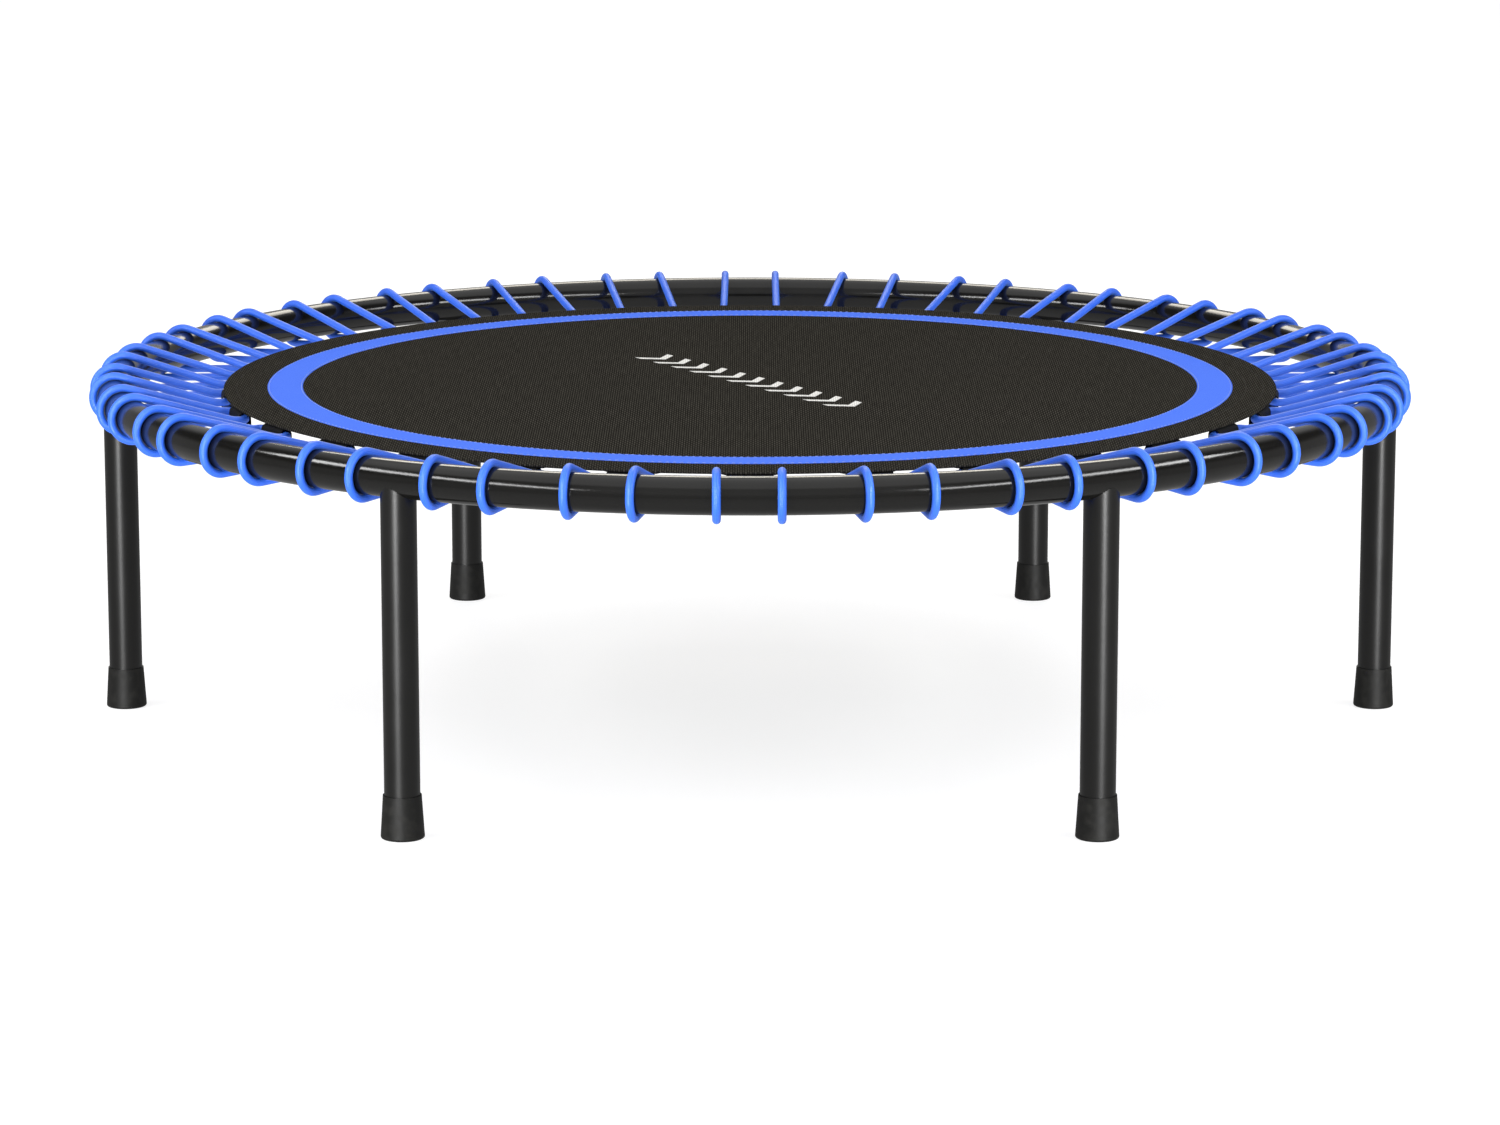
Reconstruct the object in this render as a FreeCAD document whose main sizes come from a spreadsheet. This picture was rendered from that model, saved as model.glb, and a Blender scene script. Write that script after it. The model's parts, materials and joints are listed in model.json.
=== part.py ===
"""Round fitness trampoline: a bent tube ring on six screw-in legs, with a round jumping mat hung inside
the ring on thirty closed bungee loops. Each loop runs through a webbing sleeve under the mat's edge, and
each of its two ends goes out over the ring, round it and back under it.

Millimetres. +Z is up, the origin is on the floor at the centre of the ring, and leg 1 stands on +X.
"""

import FreeCAD, Part
import math
import os

import Sketcher

DIMENSIONS = {
    # ring: one bent tube
    "ring_radius": 486.0,  # to the middle of the tube
    "ring_height": 255.0,  # middle of the tube above the floor
    "tube_radius": 13.5,
    "tube_wall": 2.0,
    # legs: a stub welded under the ring, and a leg that screws into it
    "leg_radius": 12.7,
    "leg_wall": 1.5,
    "stub_foot_height": 212.0,  # where the leg butts against its stub
    "plug_length": 20.0,  # threaded insert in the stub, and plug in the leg's top
    "stud_radius": 5.95,
    "thread_clearance": 0.05,
    "stud_reach": 26.0,
    "stud_chamfer": 1.0,
    # rubber feet
    "foot_height": 31.0,
    "foot_base_radius": 15.6,
    "foot_lip": 0.95,  # rubber round the leg at the foot's top
    "foot_sole": 4.0,
    "foot_round": 1.6,
    # jumping mat and what is sewn to it
    "mat_radius": 403.7,
    "mat_top": 256.4,
    "mat_thickness": 1.5,
    "band_inner_radius": 343.2,
    "band_outer_radius": 370.2,
    "band_thickness": 0.5,
    "hem_inner_radius": 378.0,
    "hem_outer_radius": 396.0,
    "webbing": 1.0,  # thickness of the tape that the hem and the sleeves are made of
    # webbing sleeves at the mat's edge
    "sleeve_length": 33.0,  # along the mat's edge
    "sleeve_radius": 400.5,  # from the centre to the cords in the sleeve
    "sleeve_bore": 4.0,
    "tongue_inner_radius": 380.0,
    "strand_spacing": 7.3,  # upper run of cord in the sleeve above the lower one
    # bungee loops
    "cord_radius": 3.0,
    "strand_offset": 22.5,  # each strand from its loop's middle line
    "cord_clearance": 0.05,  # between the cord and the ring or the ferrule
    "sleeve_bend_radius": 6.0,
    "rise_bend_radius": 25.0,
    "ferrule_wall": 0.6,
    "ferrule_length": 12.0,
    "cord_end_gap": 0.4,  # between the cord's two ends in the ferrule
}
LEGS = 6
LOOPS_PER_SECTOR = 5
Z_AXIS = FreeCAD.Vector(0, 0, 1)
ORIGIN = FreeCAD.Vector(0, 0, 0)
HORIZONTAL_AXIS, VERTICAL_AXIS = -1, -2  # a sketch's own axes
UPPER, LOWER = 1, -1  # levels of a loop's strands
LEFT, RIGHT = 1, -1  # sides of a loop
START, END, CENTRE = 1, 2, 3  # a sketch element's points

doc = FreeCAD.newDocument("round_trampoline")
sheet = doc.addObject("Spreadsheet::Sheet", "sheet")
for row, (alias, value) in enumerate(DIMENSIONS.items(), start=1):
    sheet.set(f"A{row}", alias)
    sheet.set(f"B{row}", str(value))
    sheet.setAlias(f"B{row}", alias)
doc.recompute()

nodes = {}


def size(alias):
    """A driving dimension as a number, for the shapes that are built directly."""
    return float(sheet.get(alias))


def keep(node, name):
    """Marks an object as a piece of the trampoline, which is written to its own file."""
    node.Label = name
    nodes[name] = node
    return node


def bound(kind, name, **expressions):
    """An object whose properties are set by expressions."""
    made = doc.addObject(kind, name)
    for prop, expression in expressions.items():
        made.setExpression(prop, expression)
    return made


def stand_on_leg(made, index):
    """Moves an object made round the Z axis to the axis of leg number index, counted from 0."""
    angle = f"{index * 360 / LEGS} deg"
    made.setExpression(".Placement.Base.x", f"sheet.ring_radius * cos({angle})")
    made.setExpression(".Placement.Base.y", f"sheet.ring_radius * sin({angle})")
    return made


def cylinder(name, radius, low, height, index=None):
    """A cylinder standing at height low, on the Z axis or on the axis of a leg."""
    made = bound("Part::Cylinder", name, Radius=radius, Height=height)
    made.setExpression(".Placement.Base.z", low)
    return made if index is None else stand_on_leg(made, index)


def cut(name, base, tool):
    made = doc.addObject("Part::Cut", name)
    made.Base, made.Tool = base, tool
    return made


def body_plane(body, role):
    return next(plane for plane in body.Origin.OriginFeatures if plane.Role == role)


def new_sketch(body, name, role):
    sketch = body.newObject("Sketcher::SketchObject", name)
    sketch.AttachmentSupport = (body_plane(body, role), [""])
    sketch.MapMode = "FlatFace"
    return sketch


def place_point(sketch, element, point, across, up):
    """Ties a sketch point to expressions for its distances from the sketch's origin."""
    ties = ((VERTICAL_AXIS, "DistanceX", across), (HORIZONTAL_AXIS, "DistanceY", up))
    for axis, kind, expression in ties:
        if expression == "0":
            sketch.addConstraint(Sketcher.Constraint("PointOnObject", element, point, axis))
        else:
            number = sketch.addConstraint(Sketcher.Constraint(kind, -1, START, element, point, 1.0))
            sketch.setExpression(f"Constraints[{number}]", expression)


def circle_sketch(body, name, role, across, up, radii):
    """Circles round one point of a sketch."""
    sketch = new_sketch(body, name, role)
    for radius in radii:
        element = sketch.addGeometry(Part.Circle(FreeCAD.Vector(1, 1, 0), Z_AXIS, 1.0))
        place_point(sketch, element, CENTRE, across, up)
        number = sketch.addConstraint(Sketcher.Constraint("Radius", element, 1.0))
        sketch.setExpression(f"Constraints[{number}]", radius)
    return sketch


def corner_sketch(body, name, role, corners):
    """A closed outline with straight sides between corners, each an expression across and one up."""
    sketch = new_sketch(body, name, role)
    count = len(corners)
    turn = 2 * math.pi / count
    start = [FreeCAD.Vector(2 + math.cos(turn * i), 2 + math.sin(turn * i), 0) for i in range(count)]
    for i in range(count):
        sketch.addGeometry(Part.LineSegment(start[i], start[(i + 1) % count]))
    for i, (across, up) in enumerate(corners):
        before = (i - 1) % count
        sketch.addConstraint(Sketcher.Constraint("Coincident", before, END, i, START))
        place_point(sketch, i, START, across, up)
    return sketch


def revolve(body, name, sketch):
    """Turns a sketch in the XZ plane once round Z."""
    made = body.newObject("PartDesign::Revolution", name)
    made.Profile = sketch
    made.ReferenceAxis = (sketch, ["V_Axis"])
    made.Angle = 360
    return made


def pad(body, name, sketch, length, midplane=False):
    made = body.newObject("PartDesign::Pad", name)
    made.Profile = sketch
    made.setExpression("Length", length)
    made.Midplane = midplane
    return made


# ---- ring -------------------------------------------------------------------------------------------


def make_ring():
    body = doc.addObject("PartDesign::Body", "frame_ring")
    walls = ("sheet.tube_radius", "sheet.tube_radius - sheet.tube_wall")
    middle = ("sheet.ring_radius", "sheet.ring_height")
    section = circle_sketch(body, "ring_section", "XZ_Plane", *middle, walls)
    revolve(body, "ring_tube", section)
    keep(body, "frame_ring")


# ---- legs -------------------------------------------------------------------------------------------


def make_stub(index, ring_outside):
    """The short tube welded under the ring, its top cut to the ring's round, and its threaded insert."""
    number = index + 1
    low = "sheet.stub_foot_height"
    height = "sheet.ring_height - sheet.stub_foot_height"
    bore = "sheet.leg_radius - sheet.leg_wall"
    outside = cylinder(f"stub_outside_{number}", "sheet.leg_radius", low, height, index)
    inside = cylinder(f"stub_inside_{number}", bore, low, height, index)
    tube = cut(f"stub_tube_{number}", outside, inside)
    keep(cut(f"leg_stub_{number}", tube, ring_outside), f"leg_stub_{number}")

    insert = cylinder(f"insert_outside_{number}", bore, low, "sheet.plug_length", index)
    thread = "sheet.stud_radius + sheet.thread_clearance"
    hole = cylinder(f"insert_hole_{number}", thread, low, "sheet.plug_length", index)
    keep(cut(f"stub_insert_{number}", insert, hole), f"stub_insert_{number}")


def make_leg(index):
    """The leg tube, and the plug with the threaded stud that is welded into its top."""
    number = index + 1
    height = "sheet.stub_foot_height - sheet.foot_sole"
    bore = "sheet.leg_radius - sheet.leg_wall"
    outside = cylinder(f"leg_outside_{number}", "sheet.leg_radius", "sheet.foot_sole", height, index)
    inside = cylinder(f"leg_inside_{number}", bore, "sheet.foot_sole", height, index)
    keep(cut(f"leg_tube_{number}", outside, inside), f"leg_tube_{number}")

    body = doc.addObject("PartDesign::Body", f"leg_stud_{number}")
    shoulder = "sheet.stub_foot_height"
    tip = "sheet.stub_foot_height + sheet.stud_reach"
    outline = (
        ("0", "sheet.stub_foot_height - sheet.plug_length"),
        (bore, "sheet.stub_foot_height - sheet.plug_length"),
        (bore, shoulder),
        ("sheet.stud_radius", shoulder),
        ("sheet.stud_radius", f"{tip} - sheet.stud_chamfer"),
        ("sheet.stud_radius - sheet.stud_chamfer", tip),
        ("0", tip),
    )
    sketch = corner_sketch(body, f"stud_outline_{number}", "XZ_Plane", outline)
    revolve(body, f"stud_turned_{number}", sketch)
    keep(stand_on_leg(body, index), f"leg_stud_{number}")


def make_foot(index):
    """A moulded rubber cup pushed over the leg's end, wider at the floor."""
    number = index + 1
    body = doc.addObject("PartDesign::Body", f"rubber_foot_{number}")
    outline = (
        ("0", "0"),
        ("sheet.foot_base_radius", "0"),
        ("sheet.leg_radius + sheet.foot_lip", "sheet.foot_height"),
        ("sheet.leg_radius", "sheet.foot_height"),
        ("sheet.leg_radius", "sheet.foot_sole"),
        ("0", "sheet.foot_sole"),
    )
    sketch = corner_sketch(body, f"foot_outline_{number}", "XZ_Plane", outline)
    cup = revolve(body, f"foot_cup_{number}", sketch)
    doc.recompute()
    base = size("foot_base_radius")
    floor_edge = next(
        f"Edge{i}"
        for i, edge in enumerate(cup.Shape.Edges, start=1)
        if abs(edge.BoundBox.ZMax) < 1e-6 and abs(edge.BoundBox.XMax - base) < 1e-6
    )
    rounding = body.newObject("PartDesign::Fillet", f"foot_rounding_{number}")
    rounding.Base = (cup, [floor_edge])
    rounding.setExpression("Radius", "sheet.foot_round")
    keep(stand_on_leg(body, index), f"rubber_foot_{number}")


# ---- mat --------------------------------------------------------------------------------------------


def make_disc(name, low, thickness, radii):
    """A flat disc, or a flat ring where there are two radii, standing at height low."""
    body = doc.addObject("PartDesign::Body", name)
    outline = circle_sketch(body, f"{name}_outline", "XY_Plane", "0", "0", radii)
    pad(body, f"{name}_cloth", outline, thickness)
    body.setExpression(".Placement.Base.z", low)
    return body


def make_mat():
    """The jumping mat, and the ring of blue cloth sewn on top of it."""
    low = "sheet.mat_top - sheet.mat_thickness"
    mat = make_disc("jump_mat", low, "sheet.mat_thickness", ["sheet.mat_radius"])
    keep(mat, "jump_mat")
    radii = ("sheet.band_outer_radius", "sheet.band_inner_radius")
    band = make_disc("mat_band", "sheet.mat_top", "sheet.band_thickness", radii)
    keep(band, "mat_band")


def lying_cylinder(name, radius, length, height):
    """A cylinder that lies along the mat's edge at a sleeve, centred on the X axis."""
    made = bound("Part::Cylinder", name, Radius=radius, Height=length)
    made.Placement.Rotation = FreeCAD.Rotation(FreeCAD.Vector(1, 0, 0), -90)
    made.setExpression(".Placement.Base.x", "sheet.sleeve_radius")
    made.setExpression(".Placement.Base.y", f"-{length} / 2")
    made.setExpression(".Placement.Base.z", height)
    return made


def make_sleeve():
    """One sleeve on the +X side: a tape folded round the cords, with a tongue sewn in under the mat."""
    body = doc.addObject("PartDesign::Body", "sleeve_pattern")
    top = "sheet.mat_top - sheet.mat_thickness"
    tongue = (
        ("sheet.tongue_inner_radius", f"{top} - sheet.webbing"),
        ("sheet.sleeve_radius", f"{top} - sheet.webbing"),
        ("sheet.sleeve_radius", top),
        ("sheet.tongue_inner_radius", top),
    )
    outline = corner_sketch(body, "tongue_outline", "XZ_Plane", tongue)
    pad(body, "tongue", outline, "sheet.sleeve_length", midplane=True)

    fold_radius = "sheet.sleeve_bore + sheet.webbing"
    upper = f"{top} - ({fold_radius})"
    lower = f"{upper} - sheet.strand_spacing"
    shells = []
    for part, radius in (("outside", fold_radius), ("inside", "sheet.sleeve_bore")):
        ends = []
        for place, height in (("upper", upper), ("lower", lower)):
            ends.append(lying_cylinder(f"sleeve_{part}_{place}", radius, "sheet.sleeve_length", height))
        middle = bound(
            "Part::Box",
            f"sleeve_{part}_middle",
            Length=f"2 * ({radius})",
            Width="sheet.sleeve_length",
            Height="sheet.strand_spacing",
        )
        middle.setExpression(".Placement.Base.x", f"sheet.sleeve_radius - ({radius})")
        middle.setExpression(".Placement.Base.y", "-sheet.sleeve_length / 2")
        middle.setExpression(".Placement.Base.z", lower)
        shell = doc.addObject("Part::MultiFuse", f"sleeve_{part}")
        shell.Shapes = [*ends, middle]
        shells.append(shell)
    folded = doc.addObject("Part::MultiFuse", "sleeve_solid")
    folded.Shapes = [body, shells[0]]
    folded.Refine = True
    return cut("sleeve", folded, shells[1])


def make_ferrule():
    """One crimped tube that joins a loop's two ends, in the lower run of the sleeve on the +X side."""
    bore = "sheet.cord_radius + sheet.cord_clearance"
    sleeve_top = "sheet.mat_top - sheet.mat_thickness - sheet.webbing"
    height = f"{sleeve_top} - sheet.sleeve_bore - sheet.strand_spacing"
    length = "sheet.ferrule_length"
    outside = lying_cylinder("ferrule_outside", f"{bore} + sheet.ferrule_wall", length, height)
    inside = lying_cylinder("ferrule_inside", bore, length, height)
    return cut("ferrule", outside, inside)


# ---- bungee loops -----------------------------------------------------------------------------------


def strand_outline(drop):
    """One strand from the sleeve to the ring, in the upright plane that it lies in.

    It leaves the sleeve level, a height drop under the middle of the ring's tube (above it if drop is
    negative), bends up and runs straight to the top of the tube. The lower strand is this one upside
    down. Returns four points, each as distances outwards and upwards from the middle of the tube: the
    start, the middle and the end of the bend, and where the cord meets the tube. Then it returns the
    radius of the cord's turn round the tube, and how far out the middle of the tube is in that plane.
    """
    tube_out = math.sqrt(size("ring_radius") ** 2 - size("strand_offset") ** 2)
    leave = size("sleeve_radius") + size("sleeve_bend_radius") - tube_out
    bend = size("rise_bend_radius")
    wrap = size("tube_radius") + size("cord_clearance") + size("cord_radius")
    bend_up = bend - drop
    distance = math.hypot(leave, bend_up)
    slope = math.atan2(-bend_up, -leave) + math.asin((bend + wrap) / distance)

    def on_bend(angle):
        return leave + bend * math.sin(angle), bend_up - bend * math.cos(angle)

    meets = (-wrap * math.sin(slope), wrap * math.cos(slope))
    return (on_bend(0), on_bend(slope / 2), on_bend(slope), meets), wrap, tube_out


def loop_path():
    """The middle line of one bungee loop on the +X side, from one end in the ferrule to the other."""
    top = size("mat_top") - size("mat_thickness") - size("sleeve_bore") - size("webbing")
    heights = {UPPER: top, LOWER: top - size("strand_spacing")}  # of the runs in the sleeve
    offset = size("strand_offset")
    corner = offset - size("sleeve_bend_radius")
    out = size("sleeve_radius")
    bend = size("sleeve_bend_radius")
    sharp = bend * (1 - math.cos(math.pi / 4))

    def strand(side, level):
        """Points of one strand from the sleeve out to the tube, and the outermost point of its turn."""
        drop = level * (size("ring_height") - heights[level])
        outline, wrap, tube_out = strand_outline(drop)
        place = [
            FreeCAD.Vector(tube_out + across, side * offset, size("ring_height") + level * up)
            for across, up in outline
        ]
        in_sleeve = FreeCAD.Vector(out, side * corner, heights[level])
        in_bend = FreeCAD.Vector(out + sharp, side * (offset - sharp), heights[level])
        outermost = FreeCAD.Vector(tube_out + wrap, side * offset, size("ring_height"))
        return [in_sleeve, in_bend, *place], outermost

    def run(points, backwards):
        """Edges of one strand: the bend at the sleeve, the gentle bend and the straight run."""
        sleeve, in_bend, start, middle, end, meets = points
        pieces = [
            Part.Arc(sleeve, in_bend, start),
            Part.Arc(start, middle, end),
            Part.LineSegment(end, meets),
        ]
        edges = [piece.toShape() for piece in pieces]
        return list(reversed(edges)) if backwards else edges

    edges = []
    gap = FreeCAD.Vector(0, size("cord_end_gap") / 2, 0)
    middle_low = FreeCAD.Vector(out, 0, heights[LOWER])
    lower, outermost = strand(LEFT, LOWER)
    upper, _ = strand(LEFT, UPPER)
    edges.append(Part.LineSegment(middle_low + gap, lower[0]).toShape())
    edges += run(lower, False)
    edges.append(Part.Arc(lower[-1], outermost, upper[-1]).toShape())
    edges += run(upper, True)
    far_upper, far_outermost = strand(RIGHT, UPPER)
    far_lower, _ = strand(RIGHT, LOWER)
    edges.append(Part.LineSegment(upper[0], far_upper[0]).toShape())
    edges += run(far_upper, False)
    edges.append(Part.Arc(far_upper[-1], far_outermost, far_lower[-1]).toShape())
    edges += run(far_lower, True)
    edges.append(Part.LineSegment(far_lower[0], middle_low - gap).toShape())
    return edges


def make_loop():
    """One bungee loop on the +X side: a round cord along the loop's middle line."""
    path = Part.Wire(Part.__sortEdges__(loop_path()))
    start = path.OrderedVertexes[0].Point
    ring = Part.Circle(start, FreeCAD.Vector(0, 1, 0), size("cord_radius")).toShape()
    solid = path.makePipeShell([Part.Wire(ring)], True, False)
    section = math.pi * size("cord_radius") ** 2
    share = solid.Volume / (section * path.Length)
    print(f"bungee loop: {path.Length:.1f} mm long, volume {share:.4f} of its section times length")
    return solid


# ---- the groups round the edge -----------------------------------------------------------------------


def turned(shape, angle):
    copy = shape.copy()
    copy.rotate(ORIGIN, Z_AXIS, angle)
    return copy


def sector_angles(sector):
    """The five loops between two legs, evenly spread."""
    pitch = 360 / LEGS / LOOPS_PER_SECTOR
    return [sector * 360 / LEGS + pitch * (i + 0.5) for i in range(LOOPS_PER_SECTOR)]


def keep_groups(name, shape):
    """One node for each sector between two legs, with a separate solid at each loop."""
    for sector in range(LEGS):
        group = doc.addObject("Part::Feature", f"{name}_{sector + 1}")
        group.Shape = Part.makeCompound([turned(shape, angle) for angle in sector_angles(sector)])
        keep(group, f"{name}_{sector + 1}")


def make_hem(sleeve):
    """The webbing ring under the mat's edge, with a seat for each sleeve's tongue."""
    low = "sheet.mat_top - sheet.mat_thickness - 2 * sheet.webbing"
    radii = ("sheet.hem_outer_radius", "sheet.hem_inner_radius")
    ring = make_disc("hem_ring", low, "2 * sheet.webbing", radii)
    tongues = doc.addObject("Part::Feature", "all_sleeves")
    angles = [angle for sector in range(LEGS) for angle in sector_angles(sector)]
    tongues.Shape = Part.makeCompound([turned(sleeve.Shape, angle) for angle in angles])
    keep(cut("mat_hem", ring, tongues), "mat_hem")


def check_and_write():
    """Stops if any object failed, then writes each piece to its own file."""
    doc.recompute()
    for made in doc.Objects:
        if "Invalid" in made.State or "Error" in made.State:
            raise RuntimeError(f"{made.Name} is {made.State}")
    for name, node in nodes.items():
        if node.Shape.isNull() or not node.Shape.isValid():
            raise RuntimeError(f"{name} has no valid shape")
    os.makedirs("parts", exist_ok=True)
    for name, node in nodes.items():
        node.Shape.exportStep(f"parts/{name}.step")
    print(f"{len(nodes)} nodes, {sum(len(node.Shape.Solids) for node in nodes.values())} solids")


make_ring()
ring_outside = bound(
    "Part::Torus", "ring_outside", Radius1="sheet.ring_radius", Radius2="sheet.tube_radius"
)
ring_outside.setExpression(".Placement.Base.z", "sheet.ring_height")
for leg in range(LEGS):
    make_stub(leg, ring_outside)
    make_leg(leg)
    make_foot(leg)
make_mat()
sleeve = make_sleeve()
ferrule = make_ferrule()
doc.recompute()
keep_groups("cord_sleeves", sleeve.Shape)
keep_groups("cord_ferrules", ferrule.Shape)
keep_groups("bungee_loops", make_loop())
make_hem(sleeve)
check_and_write()
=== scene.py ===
"""Looks of the mini trampoline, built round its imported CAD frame. Metres, +Z up, origin on the floor.

The ring, the legs, their stubs, inserts and feet, and the ferrules are the CAD nodes with finer
materials. The cords, the mat with its band, its print and its stitches, the sleeves, the hem and the
studs are made here as meshes. The room is a white floor and backdrop, soft boxes and a camera.
"""

import json
import math
import random

import bpy
import numpy as np
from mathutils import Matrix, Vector

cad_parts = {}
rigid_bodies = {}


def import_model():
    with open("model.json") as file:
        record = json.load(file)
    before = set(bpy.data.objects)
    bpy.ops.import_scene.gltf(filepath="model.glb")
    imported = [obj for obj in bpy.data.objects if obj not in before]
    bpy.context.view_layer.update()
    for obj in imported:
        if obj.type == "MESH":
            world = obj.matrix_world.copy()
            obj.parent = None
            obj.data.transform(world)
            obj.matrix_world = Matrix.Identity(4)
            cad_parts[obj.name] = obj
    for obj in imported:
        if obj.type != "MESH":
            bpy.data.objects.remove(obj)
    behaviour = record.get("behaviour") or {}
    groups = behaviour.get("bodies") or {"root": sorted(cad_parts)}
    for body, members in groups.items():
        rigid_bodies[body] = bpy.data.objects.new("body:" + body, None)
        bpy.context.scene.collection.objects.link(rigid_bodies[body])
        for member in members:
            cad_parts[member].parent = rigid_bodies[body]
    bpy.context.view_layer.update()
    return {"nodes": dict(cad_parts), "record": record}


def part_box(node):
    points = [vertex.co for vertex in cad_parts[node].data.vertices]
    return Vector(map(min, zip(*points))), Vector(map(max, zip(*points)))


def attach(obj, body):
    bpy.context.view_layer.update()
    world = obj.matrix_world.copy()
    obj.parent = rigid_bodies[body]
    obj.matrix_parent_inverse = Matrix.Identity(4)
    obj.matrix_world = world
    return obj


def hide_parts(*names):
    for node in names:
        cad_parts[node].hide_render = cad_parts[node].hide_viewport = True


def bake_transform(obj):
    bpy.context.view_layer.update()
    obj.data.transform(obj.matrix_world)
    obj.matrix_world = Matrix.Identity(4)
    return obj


SECTORS = 6
LOOPS_PER_SECTOR = 5
LOOPS = SECTORS * LOOPS_PER_SECTOR
LOOP_PITCH = 2 * math.pi / LOOPS

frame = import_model()


# ---- places and sizes from the frame -------------------------------------------------------------


def node_radii(node):
    """Least and greatest distance of a CAD node's points from the Z axis."""
    radii = [math.hypot(v.co.x, v.co.y) for v in frame["nodes"][node].data.vertices]
    return min(radii), max(radii)


RING_LOW, RING_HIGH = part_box("frame_ring")
TUBE_RADIUS = (RING_HIGH.z - RING_LOW.z) / 2
RING_HEIGHT = (RING_HIGH.z + RING_LOW.z) / 2
RING_RADIUS = node_radii("frame_ring")[1] - TUBE_RADIUS
MAT_LOW, MAT_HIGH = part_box("jump_mat")
MAT_RADIUS = node_radii("jump_mat")[1]
BAND_INNER, BAND_OUTER = node_radii("mat_band")
BAND_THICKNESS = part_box("mat_band")[1].z - MAT_HIGH.z
HEM_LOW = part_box("mat_hem")[0].z
HEM_INNER, HEM_OUTER = node_radii("mat_hem")

# as in the CAD model
WEBBING = 0.001
SLEEVE_LENGTH = 0.033
SLEEVE_BORE = 0.004
SLEEVE_RADIUS = 0.4005
TONGUE_INNER = 0.380
STRAND_SPACING = 0.0073
STRAND_OFFSET = 0.0225
CORD_RADIUS = 0.003
CORD_CLEARANCE = 0.00005
SLEEVE_BEND = 0.006
RISE_BEND = 0.025
CORD_END_GAP = 0.0004
STUD_RADIUS = 0.00595
THREAD_PITCH = 0.00175

SLEEVE_TOP = MAT_LOW.z
UPPER_RUN = SLEEVE_TOP - SLEEVE_BORE - WEBBING
LOWER_RUN = UPPER_RUN - STRAND_SPACING


# ---- mesh helpers --------------------------------------------------------------------------------


def link_mesh(name, points, faces, smooth=True):
    """Adds a mesh object made of points and faces to the scene."""
    mesh = bpy.data.meshes.new(name)
    mesh.from_pydata([tuple(p) for p in points], [], [tuple(f) for f in faces])
    mesh.polygons.foreach_set("use_smooth", [smooth] * len(mesh.polygons))
    mesh.update()
    piece = bpy.data.objects.new(name, mesh)
    bpy.context.scene.collection.objects.link(piece)
    return piece


def grid_faces(rows, columns, wrap_rows=False, wrap_columns=False, first=0):
    """Quads between the points of a grid that is stored row by row."""
    faces = []
    for i in range(rows if wrap_rows else rows - 1):
        for j in range(columns if wrap_columns else columns - 1):
            below, right = (i + 1) % rows, (j + 1) % columns
            faces.append([first + i * columns + j, first + i * columns + right,
                          first + below * columns + right, first + below * columns + j])
    return faces


def turned(points, angle):
    """Points turned round the Z axis."""
    cosine, sine = math.cos(angle), math.sin(angle)
    x, y, z = np.asarray(points, float).T
    return np.c_[x * cosine - y * sine, x * sine + y * cosine, z]


def round_axis(radius, angle, height):
    """The point at a distance from the Z axis, at an angle round it and at a height."""
    return radius * math.cos(angle), radius * math.sin(angle), height


def loop_angles():
    """Angles of the bungee loops' middle lines."""
    return [LOOP_PITCH * (i + 0.5) for i in range(LOOPS)]


def sector_of(number):
    """The sector, counted from 1, that a loop or a sleeve is in."""
    return (number - 1) // LOOPS_PER_SECTOR + 1


def carry_frames(line):
    """Two directions across a line at each of its points, turned as little as possible along it."""
    tangents = np.gradient(line, axis=0)
    tangents /= np.linalg.norm(tangents, axis=1)[:, None]
    across = np.cross(tangents[0], (0.0, 0.0, 1.0))
    across /= np.linalg.norm(across)
    first, second = [], []
    for tangent in tangents:
        across = across - tangent * (across @ tangent)
        across /= np.linalg.norm(across)
        first.append(across)
        second.append(np.cross(tangent, across))
    return np.array(first), np.array(second)


TUBE_UV = "along"


def tube(name, line, radius, sides):
    """A round tube along a line, closed at both ends, with a UV map of turns and metres."""
    line = np.asarray(line, float)
    first, second = carry_frames(line)
    angles = 2 * math.pi * np.arange(sides) / sides
    cosines, sines = np.cos(angles)[None, :, None], np.sin(angles)[None, :, None]
    ring = cosines * first[:, None] + sines * second[:, None]
    points = (line[:, None] + radius * ring).reshape(-1, 3)
    rows = len(line)
    faces = grid_faces(rows, sides, wrap_columns=True)
    along = np.r_[0, np.cumsum(np.linalg.norm(np.diff(line, axis=0), axis=1))]
    uv = []
    for i in range(rows - 1):
        for j in range(sides):
            left, right = j / sides, (j + 1) / sides
            uv += [(left, along[i]), (right, along[i]), (right, along[i + 1]), (left, along[i + 1])]
    caps = [list(range(sides))[::-1], [(rows - 1) * sides + j for j in range(sides)]]
    uv += [(0.5, 0.0)] * sides + [(0.5, along[-1])] * sides
    piece = link_mesh(name, points, faces + caps)
    layer = piece.data.uv_layers.new(name=TUBE_UV)
    layer.data.foreach_set("uv", np.asarray(uv, np.float32).ravel())
    return piece


def arc(centre, radius, start, end, count):
    """Points on an arc in a plane, from one angle to another, the first one left out."""
    angles = np.linspace(start, end, count + 1)[1:]
    return [(centre[0] + radius * math.cos(a), centre[1] + radius * math.sin(a)) for a in angles]


# ---- materials -----------------------------------------------------------------------------------


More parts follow.
